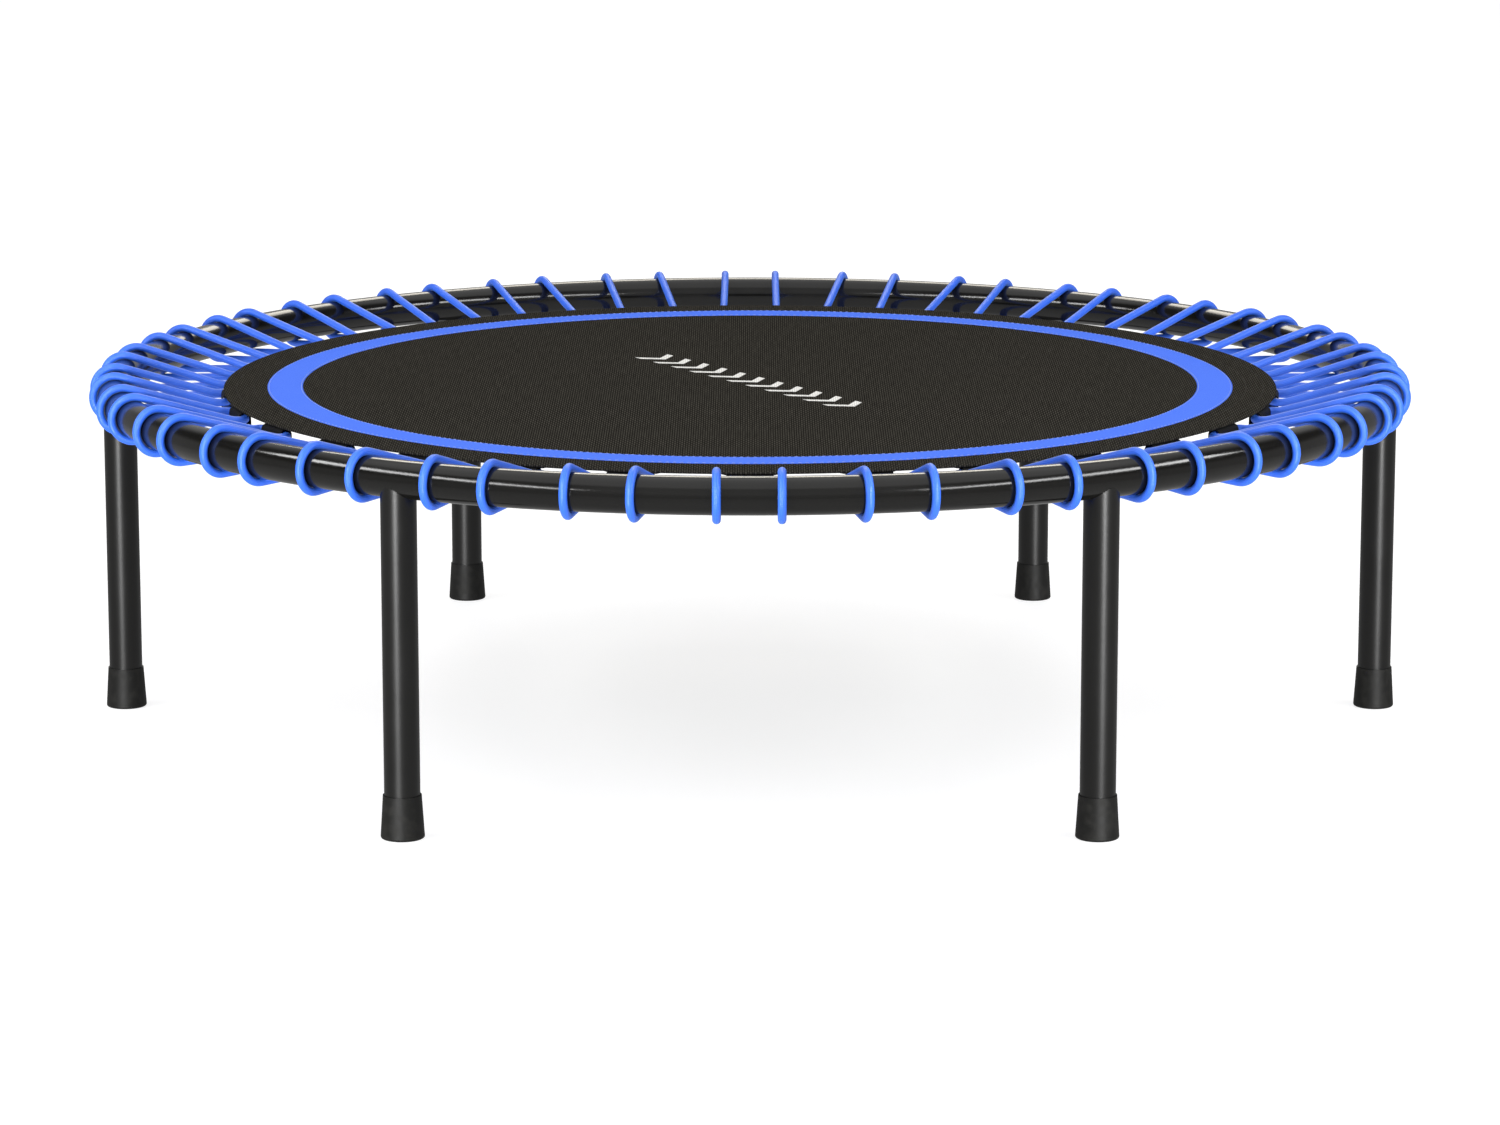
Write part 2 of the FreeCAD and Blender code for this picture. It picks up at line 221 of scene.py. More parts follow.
class Shader:
    """A procedural material: short calls that add and join its nodes."""

    def __init__(self, name, colour, roughness, **sockets):
        self.material = bpy.data.materials.new(name)
        self.material.use_nodes = True
        self.nodes = self.material.node_tree.nodes
        self.links = self.material.node_tree.links
        self.surface = self.nodes["Principled BSDF"]
        self.surface.inputs["Base Color"].default_value = (*colour, 1)
        self.surface.inputs["Roughness"].default_value = roughness
        for socket, value in sockets.items():
            self.surface.inputs[socket.replace("_", " ")].default_value = value
        self.place = self.nodes.new("ShaderNodeTexCoord").outputs["Object"]

    def feed(self, socket, value):
        """Links a socket to another one, or gives it a number or a colour."""
        if isinstance(value, bpy.types.NodeSocket):
            self.links.new(value, socket)
        elif value is not None:
            socket.default_value = value

    def math(self, operation, a, b=None, c=None):
        """One sum on sockets or numbers."""
        node = self.nodes.new("ShaderNodeMath")
        node.operation = operation
        for socket, value in zip(node.inputs, (a, b, c)):
            self.feed(socket, value)
        return node.outputs[0]

    def scaled(self, value, factor):
        """A socket's value times a number."""
        return self.math("MULTIPLY", value, factor)

    def sine(self, angle):
        """The sine of an angle, brought to between 0 and 1."""
        return self.math("MULTIPLY_ADD", self.math("SINE", angle), 0.5, 0.5)

    def split(self, vector):
        """The x, y and z of a vector."""
        node = self.nodes.new("ShaderNodeSeparateXYZ")
        self.links.new(vector, node.inputs[0])
        return node.outputs[0], node.outputs[1], node.outputs[2]

    def join(self, x, y, z):
        """A vector made of x, y and z."""
        node = self.nodes.new("ShaderNodeCombineXYZ")
        for socket, value in zip(node.inputs, (x, y, z)):
            self.feed(socket, value)
        return node.outputs[0]

    def noise(self, scale, detail, vector=None):
        """Noise from 0 to 1 with scale bumps to the metre, or to each unit of the vector given."""
        node = self.nodes.new("ShaderNodeTexNoise")
        self.links.new(vector or self.place, node.inputs["Vector"])
        node.inputs["Scale"].default_value = scale
        node.inputs["Detail"].default_value = detail
        return node.outputs["Fac"]

    def map_range(self, value, low, high, side):
        """Maps a value evenly, with low and high in place of 0 and 1 on the From or the To side."""
        node = self.nodes.new("ShaderNodeMapRange")
        self.links.new(value, node.inputs["Value"])
        node.inputs[f"{side} Min"].default_value = low
        node.inputs[f"{side} Max"].default_value = high
        return node.outputs[0]

    def ramp(self, value, low, high):
        """Stretches a value so that low becomes 0 and high becomes 1."""
        return self.map_range(value, low, high, "From")

    def span(self, value, low, high):
        """Takes a value from 0 to 1 to between low and high."""
        return self.map_range(value, low, high, "To")

    def blend(self, factor, a, b):
        """Mixes two colours, each a triple or a socket."""
        node = self.nodes.new("ShaderNodeMix")
        node.data_type = "RGBA"
        self.feed(node.inputs["Factor"], factor)
        for socket, value in ((node.inputs[6], a), (node.inputs[7], b)):
            self.feed(socket, (*value, 1) if isinstance(value, tuple) else value)
        return node.outputs[2]

    def colour(self, value):
        """Takes the surface's colour from a socket."""
        self.links.new(value, self.surface.inputs["Base Color"])

    def rough(self, value):
        """Takes the surface's roughness from a socket."""
        self.links.new(value, self.surface.inputs["Roughness"])

    def bump(self, height, distance, strength):
        """Raises the surface by height, which is from 0 to 1, times distance in metres."""
        node = self.nodes.new("ShaderNodeBump")
        node.inputs["Distance"].default_value = distance
        node.inputs["Strength"].default_value = strength
        self.links.new(height, node.inputs["Height"])
        self.links.new(node.outputs[0], self.surface.inputs["Normal"])
        return self

    def plain_weave(self, across, along, width, length):
        """Height of a plain weave from 0 to 1: crowned yarns that pass over and under each other."""
        column = self.math("FLOOR", self.math("DIVIDE", across, width))
        shift = self.scaled(column, math.pi)
        over = self.sine(self.math("MULTIPLY_ADD", along, math.pi / length, shift))
        crown = self.math("ABSOLUTE", self.math("SINE", self.scaled(across, math.pi / width)))
        return self.math("MULTIPLY", self.math("MULTIPLY_ADD", over, 0.6, 0.4), crown)

    def polar(self):
        """Distance round the trampoline at the mat's edge, and distance from its middle."""
        x, y, _ = self.split(self.place)
        round_edge = self.scaled(self.math("ARCTAN2", y, x), SLEEVE_RADIUS)
        x_squared, y_squared = self.math("MULTIPLY", x, x), self.math("MULTIPLY", y, y)
        return round_edge, self.math("SQRT", self.math("ADD", x_squared, y_squared))


def black_paint(name, base, roughness):
    """Black powder coat: a faint orange peel, a few specks, and roughness that wanders a little."""
    shader = Shader(name, base, roughness)
    peel = shader.noise(scale=650, detail=2.0)
    patches = shader.noise(scale=22, detail=4.0)
    specks = shader.ramp(shader.noise(scale=2600, detail=1.0), low=0.70, high=0.78)
    shader.rough(shader.span(patches, roughness * 0.75, roughness * 1.25))
    shader.colour(shader.blend(shader.scaled(specks, 0.25), base, (0.04, 0.04, 0.038)))
    return shader.bump(peel, distance=0.00006, strength=0.6).material


def foot_rubber():
    """Matte moulded rubber with a fine spark-eroded grain and a little dust."""
    shader = Shader("foot_rubber", (0.006, 0.006, 0.0055), 0.6, Specular_IOR_Level=0.25)
    grain = shader.noise(scale=2400, detail=3.0)
    dust = shader.ramp(shader.noise(scale=140, detail=5.0), low=0.45, high=0.8)
    shader.colour(shader.blend(dust, (0.0055, 0.0055, 0.005), (0.014, 0.0135, 0.012)))
    shader.rough(shader.span(dust, low=0.5, high=0.7))
    return shader.bump(grain, distance=0.00012, strength=0.5).material


def plated_steel():
    """Bright zinc plating with turning marks."""
    shader = Shader("plated_steel", (0.62, 0.61, 0.58), 0.3, Metallic=1.0)
    _, _, z = shader.split(shader.place)
    marks = shader.noise(scale=30, detail=4.0, vector=shader.join(0.0, 0.0, shader.scaled(z, 160)))
    stain = shader.noise(scale=90, detail=3.0)
    shader.colour(shader.blend(stain, (0.55, 0.54, 0.50), (0.72, 0.71, 0.68)))
    shader.rough(shader.span(marks, low=0.22, high=0.42))
    return shader.bump(marks, distance=0.00003, strength=0.5).material


def bungee_cover():
    """Braided cover: two sets of flat yarns that wind round the cord opposite ways, over and under.

    There are as many yarns each way as carriers, and the lead is the length of one turn of a yarn. The
    grooves between the yarns are coloured darker than their crowns, which is painted shade.
    """
    shader = Shader("bungee_cover", (0.02, 0.15, 0.84), 0.34, Specular_IOR_Level=0.8, Sheen_Weight=0.12)
    shader.surface.inputs["Specular Tint"].default_value = (0.75, 0.88, 1.0, 1)
    shader.surface.inputs["Sheen Roughness"].default_value = 0.3
    shader.surface.inputs["Sheen Tint"].default_value = (0.4, 0.8, 1.0, 1)
    uv = shader.nodes.new("ShaderNodeUVMap")
    uv.uv_map = TUBE_UV
    turn, along, _ = shader.split(uv.outputs[0])
    carriers, lead = 8, 0.013
    winding = shader.math("DIVIDE", along, lead)
    yarns = []
    for direction in (1, -1):
        place = shader.math("MULTIPLY_ADD", winding, direction, turn)
        yarns.append(shader.scaled(place, 2 * math.pi * carriers))
    left, right = [shader.math("SINE", yarn) for yarn in yarns]
    braid = shader.math("MULTIPLY_ADD", shader.math("MULTIPLY", left, right), 0.5, 0.5)
    fibres = shader.noise(scale=1500, detail=2.0)
    worn = shader.noise(scale=60, detail=3.0)
    # painted shade: the braid's grooves are coloured darker than the crowns of its yarns
    painted_groove_shade = shader.blend(shader.scaled(braid, 0.8), (0.014, 0.10, 0.69), (0.055, 0.195, 0.93))
    shader.colour(shader.blend(shader.scaled(worn, 0.25), painted_groove_shade, (0.012, 0.09, 0.65)))
    height = shader.math("MULTIPLY_ADD", fibres, 0.25, braid)
    return shader.bump(height, distance=0.00025, strength=0.7).material


# a rib's width, how far its yarn runs over or under, and how far it wanders sideways
RIB_WIDTH = 0.0017
RIB_FLOAT = 0.0045
RIB_WANDER = 0.0005


def mat_weave():
    """Ribbed polypropylene cloth: flat yarns in ribs, black with a brown cast, some paler than others. The
    gaps between the ribs are coloured near black, which is painted shade.
    """
    shader = Shader("mat_weave", (0.036, 0.034, 0.030), 0.6, Specular_IOR_Level=0.0)
    x, y, _ = shader.split(shader.place)
    across = shader.math("ADD", x, shader.scaled(shader.noise(scale=9, detail=2.0), RIB_WANDER))
    weave = shader.plain_weave(across, y, RIB_WIDTH, RIB_FLOAT)
    fibres = shader.join(shader.scaled(x, 700), shader.scaled(y, 30), 0.0)
    streaks = shader.noise(scale=1.0, detail=3.0, vector=fibres)
    cloudy = shader.noise(scale=14, detail=4.0)
    # painted shade: the low parts of the weave, between the ribs, are coloured near black, and the rib tops
    # keep the yarns' own streaky colour
    dark = shader.blend(streaks, (0.0010, 0.0009, 0.0008), (0.003, 0.0028, 0.0024))
    light = shader.blend(streaks, (0.034, 0.0318, 0.0272), (0.100, 0.0938, 0.0796))
    cloth = shader.blend(weave, dark, light)
    shader.colour(shader.blend(shader.scaled(cloudy, 0.12), cloth, (0.022, 0.0208, 0.018)))
    shader.rough(shader.span(streaks, low=0.5, high=0.7))
    return shader.bump(weave, distance=0.00035, strength=0.6).material


def mat_band_cloth():
    """Smooth blue cloth with a fine even weave, whose yarns run round the band and across it. The low parts
    of the weave are coloured darker, which is painted shade.
    """
    shader = Shader("mat_band_cloth", (0.12, 0.25, 0.93), 0.6, Specular_IOR_Level=0.0)
    round_edge, out = shader.polar()
    weave = shader.plain_weave(round_edge, out, width=0.0007, length=0.0007)
    cloudy = shader.noise(scale=26, detail=4.0)
    # painted shade: the weave's low parts are coloured darker blue than its crowns
    cloth = shader.blend(weave, (0.06, 0.155, 0.80), (0.14, 0.275, 1.0))
    shader.colour(shader.blend(shader.scaled(cloudy, 0.25), cloth, (0.07, 0.17, 0.86)))
    return shader.bump(weave, distance=0.00012, strength=0.5).material


def webbing():
    """Black nylon tape, woven in a herringbone that runs across the tape. The herringbone's grooves are
    coloured darker, which is painted shade.
    """
    shader = Shader("webbing", (0.005, 0.005, 0.005), 0.65, Specular_IOR_Level=0.12)
    stripe, rib = 0.006, 0.0012
    round_edge, out = shader.polar()
    _, _, z = shader.split(shader.place)
    stripes = shader.math("FRACT", shader.math("DIVIDE", round_edge, stripe))
    fold = shader.math("ABSOLUTE", shader.math("SUBTRACT", stripes, 0.5))
    slant = shader.math("MULTIPLY_ADD", fold, stripe, shader.math("ADD", out, z))
    weave = shader.sine(shader.scaled(slant, 2 * math.pi / rib))
    # painted shade: the herringbone's grooves are coloured darker than its ridges
    shader.colour(shader.blend(weave, (0.003, 0.003, 0.003), (0.009, 0.009, 0.0088)))
    return shader.bump(weave, distance=0.0002, strength=0.7).material


def thread(name, colour):
    """Twisted sewing thread, coloured darker between its fibres, which is painted shade."""
    shader = Shader(name, colour, 0.6, Specular_IOR_Level=0.05)
    twist = shader.noise(scale=3000, detail=2.0)
    dim = tuple(value * 0.7 for value in colour)
    # painted shade: where the twist's bumps are low, between the fibres, the thread is coloured darker
    shader.colour(shader.blend(twist, dim, colour))
    return shader.bump(twist, distance=0.0001, strength=0.6).material


def print_ink():
    """White ink printed on the ribbed cloth: it follows the ribs and is coloured darker between them, which
    is painted shade, and it is thin in random patches.
    """
    shader = Shader("print_ink", (0.8, 0.8, 0.79), 0.5)
    x, y, _ = shader.split(shader.place)
    weave = shader.plain_weave(x, y, RIB_WIDTH, RIB_FLOAT)
    thin = shader.ramp(shader.noise(scale=420, detail=3.0), low=0.62, high=0.8)
    # painted shade: the ink is coloured darker in the low parts of the weave, between the ribs
    ink = shader.blend(weave, (0.50, 0.50, 0.49), (0.86, 0.86, 0.85))
    shader.colour(shader.blend(shader.scaled(thin, 0.5), ink, (0.30, 0.30, 0.29)))
    return shader.bump(weave, distance=0.0003, strength=0.6).material


MATERIALS = {
    "frame_paint": black_paint("frame_paint", (0.0068, 0.0065, 0.0057), 0.14),
    "leg_paint": black_paint("leg_paint", (0.0030, 0.0029, 0.0026), 0.33),
    "foot_rubber": foot_rubber(),
    "plated_steel": plated_steel(),
    "bungee_cover": bungee_cover(),
    "mat_weave": mat_weave(),
    "mat_band_cloth": mat_band_cloth(),
    "webbing": webbing(),
    "light_thread": thread("light_thread", (0.30, 0.42, 0.95)),
    "black_thread": thread("black_thread", (0.030, 0.028, 0.024)),
    "print_ink": print_ink(),
}


def finish_piece(piece, material, replaced=()):
    """Gives a piece its material and the CAD nodes it replaces."""
    piece.data.materials.append(MATERIALS[material])
    if replaced:
        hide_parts(*replaced)


def paint_cad_nodes():
    """Gives each CAD node the material of its slot, and the legs and stubs a duller paint."""
    for entry in frame["record"]["subparts"]:
        node = frame["nodes"][entry["node"]]
        node.data.materials.clear()
        material = entry["material_slot"]
        if entry["node"].startswith(("leg_tube", "leg_stub")):
            material = "leg_paint"
        node.data.materials.append(MATERIALS[material])


# ---- bungee loops --------------------------------------------------------------------------------


# how many straight pieces each part of a cord's line has, and how many sides the cord has
BEND_STEPS = 8
RISE_STEPS = 4
STRAND_STEPS = 15
WRAP_STEPS = 14
RUN_STEPS = 4
CORD_SIDES = 16
# how far a wrap may sit from its even place along the ring
WRAP_WANDER = 0.0014
WRAP_SEED = 7


def strand_line(offset, level):
    """One strand's middle line from the sleeve to the outside of the ring, as rows of (out, up).

    Level is 1 for the strand above the ring and -1 for the one below. The first row is where the cord
    has turned out of the sleeve, level with its run there.
    """
    tube_out = math.sqrt(RING_RADIUS ** 2 - offset ** 2)
    run = UPPER_RUN if level > 0 else LOWER_RUN
    wrap = TUBE_RADIUS + CORD_CLEARANCE + CORD_RADIUS
    start = SLEEVE_RADIUS + SLEEVE_BEND
    centre_up = RISE_BEND - level * (RING_HEIGHT - run)
    distance = math.hypot(tube_out - start, centre_up)
    slope = math.asin((RISE_BEND + wrap) / distance) - math.atan2(centre_up, tube_out - start)
    line = [(start, centre_up - RISE_BEND)]
    line += arc((start, centre_up), RISE_BEND, -math.pi / 2, slope - math.pi / 2, RISE_STEPS)
    meets = (tube_out - wrap * math.sin(slope), wrap * math.cos(slope))
    leaves = line[-1]
    for t in np.linspace(0, 1, STRAND_STEPS + 1)[1:]:
        line.append((leaves[0] + (meets[0] - leaves[0]) * t, leaves[1] + (meets[1] - leaves[1]) * t))
    line += arc((tube_out, 0.0), wrap, slope + math.pi / 2, 0.0, WRAP_STEPS)
    return [(out, RING_HEIGHT + level * up) for out, up in line]


def wrap_line(side, slack):
    """From the sleeve over the ring and back on one side; the wrap sits slack metres along the ring."""
    at_ring = STRAND_OFFSET + slack
    upper = strand_line(at_ring, 1)
    lower = strand_line(at_ring, -1)
    rows = upper + lower[-2::-1]
    near, far = SLEEVE_RADIUS + SLEEVE_BEND, RING_RADIUS - TUBE_RADIUS
    line = []
    for out, up in rows:
        reach = min(1.0, max(0.0, (out - near) / (far - near)))
        line.append((out, side * (STRAND_OFFSET + slack * reach), up))
    return line


def turn_into_sleeve(side, height):
    """The bend from a strand into the sleeve, from the strand inwards, its first point left out."""
    corner = STRAND_OFFSET - SLEEVE_BEND
    centre = (SLEEVE_RADIUS + SLEEVE_BEND, corner)
    bend = arc(centre, SLEEVE_BEND, math.pi / 2, math.pi, BEND_STEPS)
    return [(x, side * y, height) for x, y in bend]


def loop_line(slacks):
    """The middle line of one whole loop on the +X side, from one end in the ferrule to the other."""
    upper_bend = [turn_into_sleeve(side, UPPER_RUN) for side in (1, -1)]
    lower_bend = [turn_into_sleeve(side, LOWER_RUN) for side in (1, -1)]
    gap = CORD_END_GAP / 2
    corner = STRAND_OFFSET - SLEEVE_BEND

    def inside(start, end, height):
        return [(SLEEVE_RADIUS, start + (end - start) * i / RUN_STEPS, height) for i in range(RUN_STEPS)]

    line = inside(gap, corner, LOWER_RUN)
    line += lower_bend[0][::-1] + wrap_line(1, slacks[0])[::-1] + upper_bend[0]
    line += inside(corner, -corner, UPPER_RUN)[1:]
    line += upper_bend[1][::-1] + wrap_line(-1, slacks[1]) + lower_bend[1]
    line += inside(-corner, -gap, LOWER_RUN)[1:] + [(SLEEVE_RADIUS, -gap, LOWER_RUN)]
    return line


def make_loops():
    """Thirty closed loops of cord, each from its sleeve round the ring and back."""
    chance = random.Random(WRAP_SEED)
    for number, angle in enumerate(loop_angles(), start=1):
        slacks = [chance.uniform(-WRAP_WANDER, WRAP_WANDER) for _ in range(2)]
        line = turned(loop_line(slacks), angle)
        loop = tube(f"bungee_loop_{number:02d}", line, CORD_RADIUS, CORD_SIDES)
        finish_piece(loop, "bungee_cover", [f"bungee_loops_{sector_of(number)}"])
        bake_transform(loop)


# ---- mat -----------------------------------------------------------------------------------------


def rounded_edge(radius, low, high):
    """The outer edge of a sheet, from its lower face to its upper one, as (out, up) points."""
    half, steps = (high - low) / 2, 5
    turn = arc((radius - half, low + half), half, -math.pi / 2, math.pi / 2, steps)
    return [(radius - half, low)] + turn


def make_mat():
    """The cloth disc, with a rounded cut edge. Its mesh has a hole in the middle, too small to see."""
    rings = [0.0005, 0.02, 0.1, 0.2, 0.3, BAND_INNER, BAND_OUTER, HEM_INNER, HEM_OUTER]
    lower = [(radius, MAT_LOW.z) for radius in rings]
    upper = [(radius, MAT_HIGH.z) for radius in rings[::-1]]
    profile = lower + rounded_edge(MAT_RADIUS, MAT_LOW.z, MAT_HIGH.z) + upper
    sides = 360
    angles = 2 * math.pi * np.arange(sides) / sides
    points = [round_axis(radius, angle, up) for angle in angles for radius, up in profile]
    mat = link_mesh("jumping_mat", points, grid_faces(sides, len(profile), True, True))
    finish_piece(mat, "mat_weave", ["jump_mat"])
    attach(mat, "mat")


STITCH_PITCH = 0.0052
STITCH_INSET = 0.0012
STITCH_LENGTH = 0.0034
# half the thickness of the thread
THREAD_RADIUS = 0.00035
THIN_THREAD_RADIUS = 0.0002


def stitch_count(radius):
    """How many stitches a round of that radius has."""
    return round(2 * math.pi * radius / STITCH_PITCH)


def make_band():
    """The blue ring of cloth: turned-in edges, pressed down and puckered along both rows of stitches."""
    steps = 14
    stitches = stitch_count(BAND_OUTER)
    rounds = stitches * 4
    edge_round, seam_width, least_height = 0.0006, 0.0011, 0.00008
    rows = [BAND_INNER + (BAND_OUTER - BAND_INNER) * i / steps for i in range(steps + 1)]
    near_edge = [STITCH_INSET * share for share in (0.0, 0.15, 0.6, 1.0, 1.6, 2.6)]
    edges = [BAND_INNER + inset for inset in near_edge] + [BAND_OUTER - inset for inset in near_edge]
    radii = sorted(set(rows[2:-2] + edges))
    base = MAT_HIGH.z
    points = []
    for i in range(rounds):
        angle = 2 * math.pi * i / rounds
        pucker = 0.5 + 0.5 * math.cos(angle * stitches)
        for radius in radii:
            edge = min(radius - BAND_INNER, BAND_OUTER - radius)
            dip = math.exp(-((edge - STITCH_INSET) / seam_width) ** 2) * (0.35 + 0.35 * pucker)
            crown = min(1.0, edge / edge_round) ** 0.5 if edge > 0 else 0.0
            up = BAND_THICKNESS * (0.35 + 0.65 * crown - dip)
            points.append(round_axis(radius, angle, base + max(up, least_height)))
        points += [round_axis(radius, angle, base) for radius in (BAND_OUTER, BAND_INNER)]
    band = link_mesh("blue_band", points, grid_faces(rounds, len(radii) + 2, True, True))
    finish_piece(band, "mat_band_cloth", ["mat_band"])
    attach(band, "mat")


def stitch_row(name, radius, height, count, material, thread_radius=THREAD_RADIUS):
    """A round of separate stitches, each a short arched thread that dives into the cloth at its ends."""
    rows, sides = 7, 6
    points, faces = [], []
    for n in range(count):
        middle = 2 * math.pi * n / count
        first = len(points)
        for i in range(rows):
            t = i / (rows - 1)
            angle = middle + (t - 0.5) * STITCH_LENGTH / radius
            arch = math.sin(math.pi * t)
            share = 0.45 + 0.55 * arch ** 0.5 if 0 < i < rows - 1 else 0.3
            for j in range(sides):
                around = 2 * math.pi * j / sides
                out = radius + thread_radius * share * math.cos(around)
                up = height + thread_radius * (arch - 0.65 + share * math.sin(around))
                points.append(round_axis(out, angle, up))
        faces += grid_faces(rows, sides, wrap_columns=True, first=first)
        last = first + (rows - 1) * sides
        faces += [[first + j for j in range(sides)][::-1], [last + j for j in range(sides)]]
    row = link_mesh(name, points, faces)
    finish_piece(row, material)
    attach(row, "mat")


def make_stitches():
    """Two rounds of stitches on the band, and two through the hem, seen from above and from below."""
    on_band = MAT_HIGH.z + BAND_THICKNESS * 0.55
    for name, radius in (("outer", BAND_OUTER - STITCH_INSET), ("inner", BAND_INNER + STITCH_INSET)):
        stitch_row(f"band_stitches_{name}", radius, on_band, stitch_count(BAND_OUTER),
                   "light_thread")
    inset = 0.0025
    for name, radius in (("outer", HEM_OUTER - inset), ("inner", HEM_INNER + inset)):
        count = stitch_count(radius)
        stitch_row(f"hem_stitches_{name}", radius, MAT_HIGH.z, count, "black_thread")
        stitch_row(f"hem_stitches_{name}_under", radius, HEM_LOW + WEBBING, count,
                   "black_thread", THIN_THREAD_RADIUS)


def make_print():
    """A plain printed mark across the middle: a row of arrowheads in white ink."""
    ink = 0.0001
    low, high = MAT_HIGH.z, MAT_HIGH.z + ink
    heading = math.radians(-57.6)
    length, height, stroke, reach, count = 0.292, 0.030, 0.0085, 0.013, 11
    pitch = (length - stroke - reach) / (count - 1)
    points, faces = [], []
    for n in range(count):
        start = n * pitch - length / 2
        outline = [(start, -height / 2), (start + stroke, -height / 2), (start + stroke + reach, 0),
                   (start + stroke, height / 2), (start, height / 2), (start + reach, 0)]
        first, corners = len(points), len(outline)
        for z in (low, high):
            points += [(u, v, z) for u, v in outline]
        for level in (0, corners):
            halves = ([0, 1, 2, 5], [5, 2, 3, 4])
            for half in halves:
                faces.append([first + level + i for i in (half if level else half[::-1])])
        for i in range(corners):
            after = (i + 1) % corners
            faces.append([first + i, first + after, first + corners + after, first + corners + i])
    mark = link_mesh("printed_mark", turned(points, heading), faces, smooth=False)
    finish_piece(mark, "print_ink")
    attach(mark, "mat")


# ---- sleeves and hem -----------------------------------------------------------------------------


def sleeve_profile():
    """The middle line of the folded tape as (out, up): along the tongue, round the cords and back up."""
    fold = SLEEVE_BORE + WEBBING / 2
    tape_up = SLEEVE_TOP - WEBBING / 2
    tongue = SLEEVE_RADIUS - TONGUE_INNER
    line = [(TONGUE_INNER + tongue * t, tape_up) for t in (0, 0.3, 0.6, 0.8, 1.0)]
    line += arc((SLEEVE_RADIUS, UPPER_RUN), fold, math.pi / 2, 0, 6)
    line += arc((SLEEVE_RADIUS, LOWER_RUN), fold, 0, -math.pi, 12)
    line += arc((SLEEVE_RADIUS, UPPER_RUN), fold, math.pi, math.pi * 0.62, 4)
    return line


# places from a sleeve's middle to its end, as shares of its half length, with the tape's thickness there
SLEEVE_STATIONS = ((0.0, 1.0), (0.2, 1.0), (0.5, 1.0), (0.8, 1.0), (0.95, 1.0), (0.985, 0.75), (1.0, 0.25))


def make_sleeve(number, angle):
    """One webbing sleeve: a folded tape with thickness, which gets thin at its two selvedges."""
    line = np.array(sleeve_profile())
    tangents = np.gradient(line, axis=0)
    tangents /= np.linalg.norm(tangents, axis=1)[:, None]
    normals = np.c_[-tangents[:, 1], tangents[:, 0]]
    stations = [(-place, share) for place, share in SLEEVE_STATIONS[:0:-1]] + list(SLEEVE_STATIONS)
    points = []
    for place, share in stations:
        proud = normals * WEBBING / 2 * share
        for out, up in np.vstack([line + proud, (line - proud)[::-1]]):
            points.append((out, place * SLEEVE_LENGTH / 2, up))
    count = 2 * len(line)
    faces = grid_faces(len(stations), count, wrap_columns=True)
    for end, first in ((0, 0), (1, (len(stations) - 1) * count)):
        for i in range(len(line) - 1):
            face = [first + i, first + i + 1, first + count - 2 - i, first + count - 1 - i]
            faces.append(face[::-1] if end == 0 else face)
    sleeve = link_mesh(f"cord_sleeve_{number:02d}", turned(points, angle), faces)
    finish_piece(sleeve, "webbing", [f"cord_sleeves_{sector_of(number)}"])
    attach(sleeve, "mat")


def make_hem():
    """The webbing ring under the edge: against the mat, but under the tongues of the sleeves."""
    rounds, columns = 720, 10
    slope, thickness = 0.006, WEBBING * 0.98
    radii = [HEM_INNER + (HEM_OUTER - HEM_INNER) * j / columns for j in range(columns + 1)]
    points = []
    for i in range(rounds):
        angle = 2 * math.pi * i / rounds
        from_loop = abs((angle / LOOP_PITCH) % 1.0 - 0.5) * LOOP_PITCH * SLEEVE_RADIUS
        lift = min(1.0, max(0.0, (from_loop - SLEEVE_LENGTH / 2) / slope))
        low = HEM_LOW + WEBBING * lift * lift * (3 - 2 * lift)
        points += [round_axis(radius, angle, low) for radius in radii]
        points += [round_axis(radius, angle, low + thickness) for radius in radii[::-1]]
    hem = link_mesh("edge_hem", points, grid_faces(rounds, 2 * len(radii), True, True))
    finish_piece(hem, "webbing", ["mat_hem"])
    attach(hem, "mat")


# ---- studs ---------------------------------------------------------------------------------------


def make_stud(number):
    """A leg's plug and stud with a real helical thread, as rings of points from the plug up."""
    node = f"leg_stud_{number}"
    low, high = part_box(node)
    axis_x, axis_y = (low.x + high.x) / 2, (low.y + high.y) / 2
    plug_radius = (high.x - low.x) / 2
    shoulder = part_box(f"leg_tube_{number}")[1].z
    sides, rings_per_turn = 48, 8
    chamfer, tip = 0.0006, 0.0016
    depth = 0.61 * THREAD_PITCH
    rings = [(low.z, [0.001] * sides), (low.z, [plug_radius] * sides),
             (shoulder - chamfer, [plug_radius] * sides), (shoulder, [plug_radius - chamfer] * sides)]
    steps = round((high.z - shoulder) / THREAD_PITCH * rings_per_turn)
    for i in range(steps + 1):
        z = shoulder + (high.z - shoulder) * i / steps
        taper = min(1.0, (high.z - z) / tip * 0.5 + 0.5)
        run_in = min(1.0, i / rings_per_turn)
        radii = []
        for j in range(sides):
            turn = (z / THREAD_PITCH - j / sides) % 1.0
            groove = max(0.0, 1 - abs(turn - 0.5) * 2.6) * run_in
            radii.append(min(STUD_RADIUS - depth * groove, STUD_RADIUS * taper))
        rings.append((z, radii))
    points = []
    for z, radii in rings:
        for j, radius in enumerate(radii):
            x, y, _ = round_axis(radius, 2 * math.pi * j / sides, z)
            points.append((axis_x + x, axis_y + y, z))
    rows = len(rings)
    faces = grid_faces(rows, sides, wrap_columns=True)
    faces += [list(range(sides))[::-1], [(rows - 1) * sides + j for j in range(sides)]]
    stud = link_mesh(f"threaded_stud_{number}", points, faces)
    finish_piece(stud, "plated_steel", [node])
    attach(stud, f"leg_{number}")


# ---- room, light and camera ----------------------------------------------------------------------


